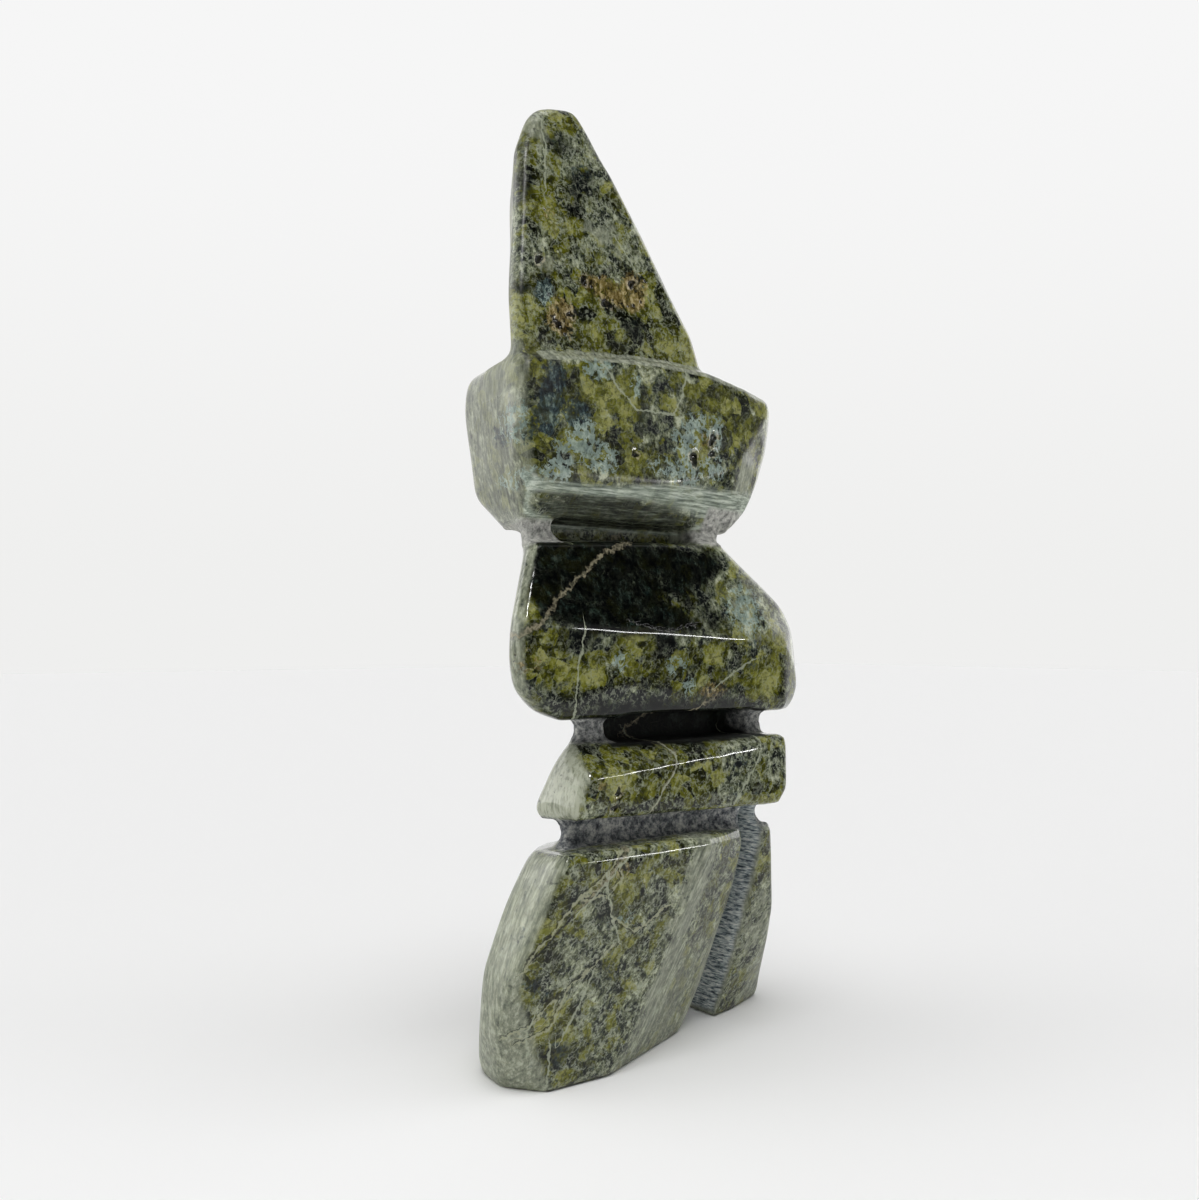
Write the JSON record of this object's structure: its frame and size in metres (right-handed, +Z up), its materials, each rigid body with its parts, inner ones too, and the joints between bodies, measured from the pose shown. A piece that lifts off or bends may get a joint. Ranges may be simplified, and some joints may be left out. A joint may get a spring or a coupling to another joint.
{
  "type": "inukshuk sculpture",
  "caption": "Carved stone inukshuk: stacked blocks with narrow recessed necks, a tall tapered head and a slot between its two legs.",
  "frame": {"origin": "on the floor, at the middle of the figure's outline seen from above", "axes": "+Z up the figure's height, X across its broad face, -Y out of the face seen in the picture"},
  "size_m": [0.1108, 0.056, 0.2512],
  "materials": {
    "stone": "polished green serpentine, left rough in the necks and the saw cut"
  },
  "bodies": {
    "root": {"inukshuk": "stone"}
  },
  "joints": []
}
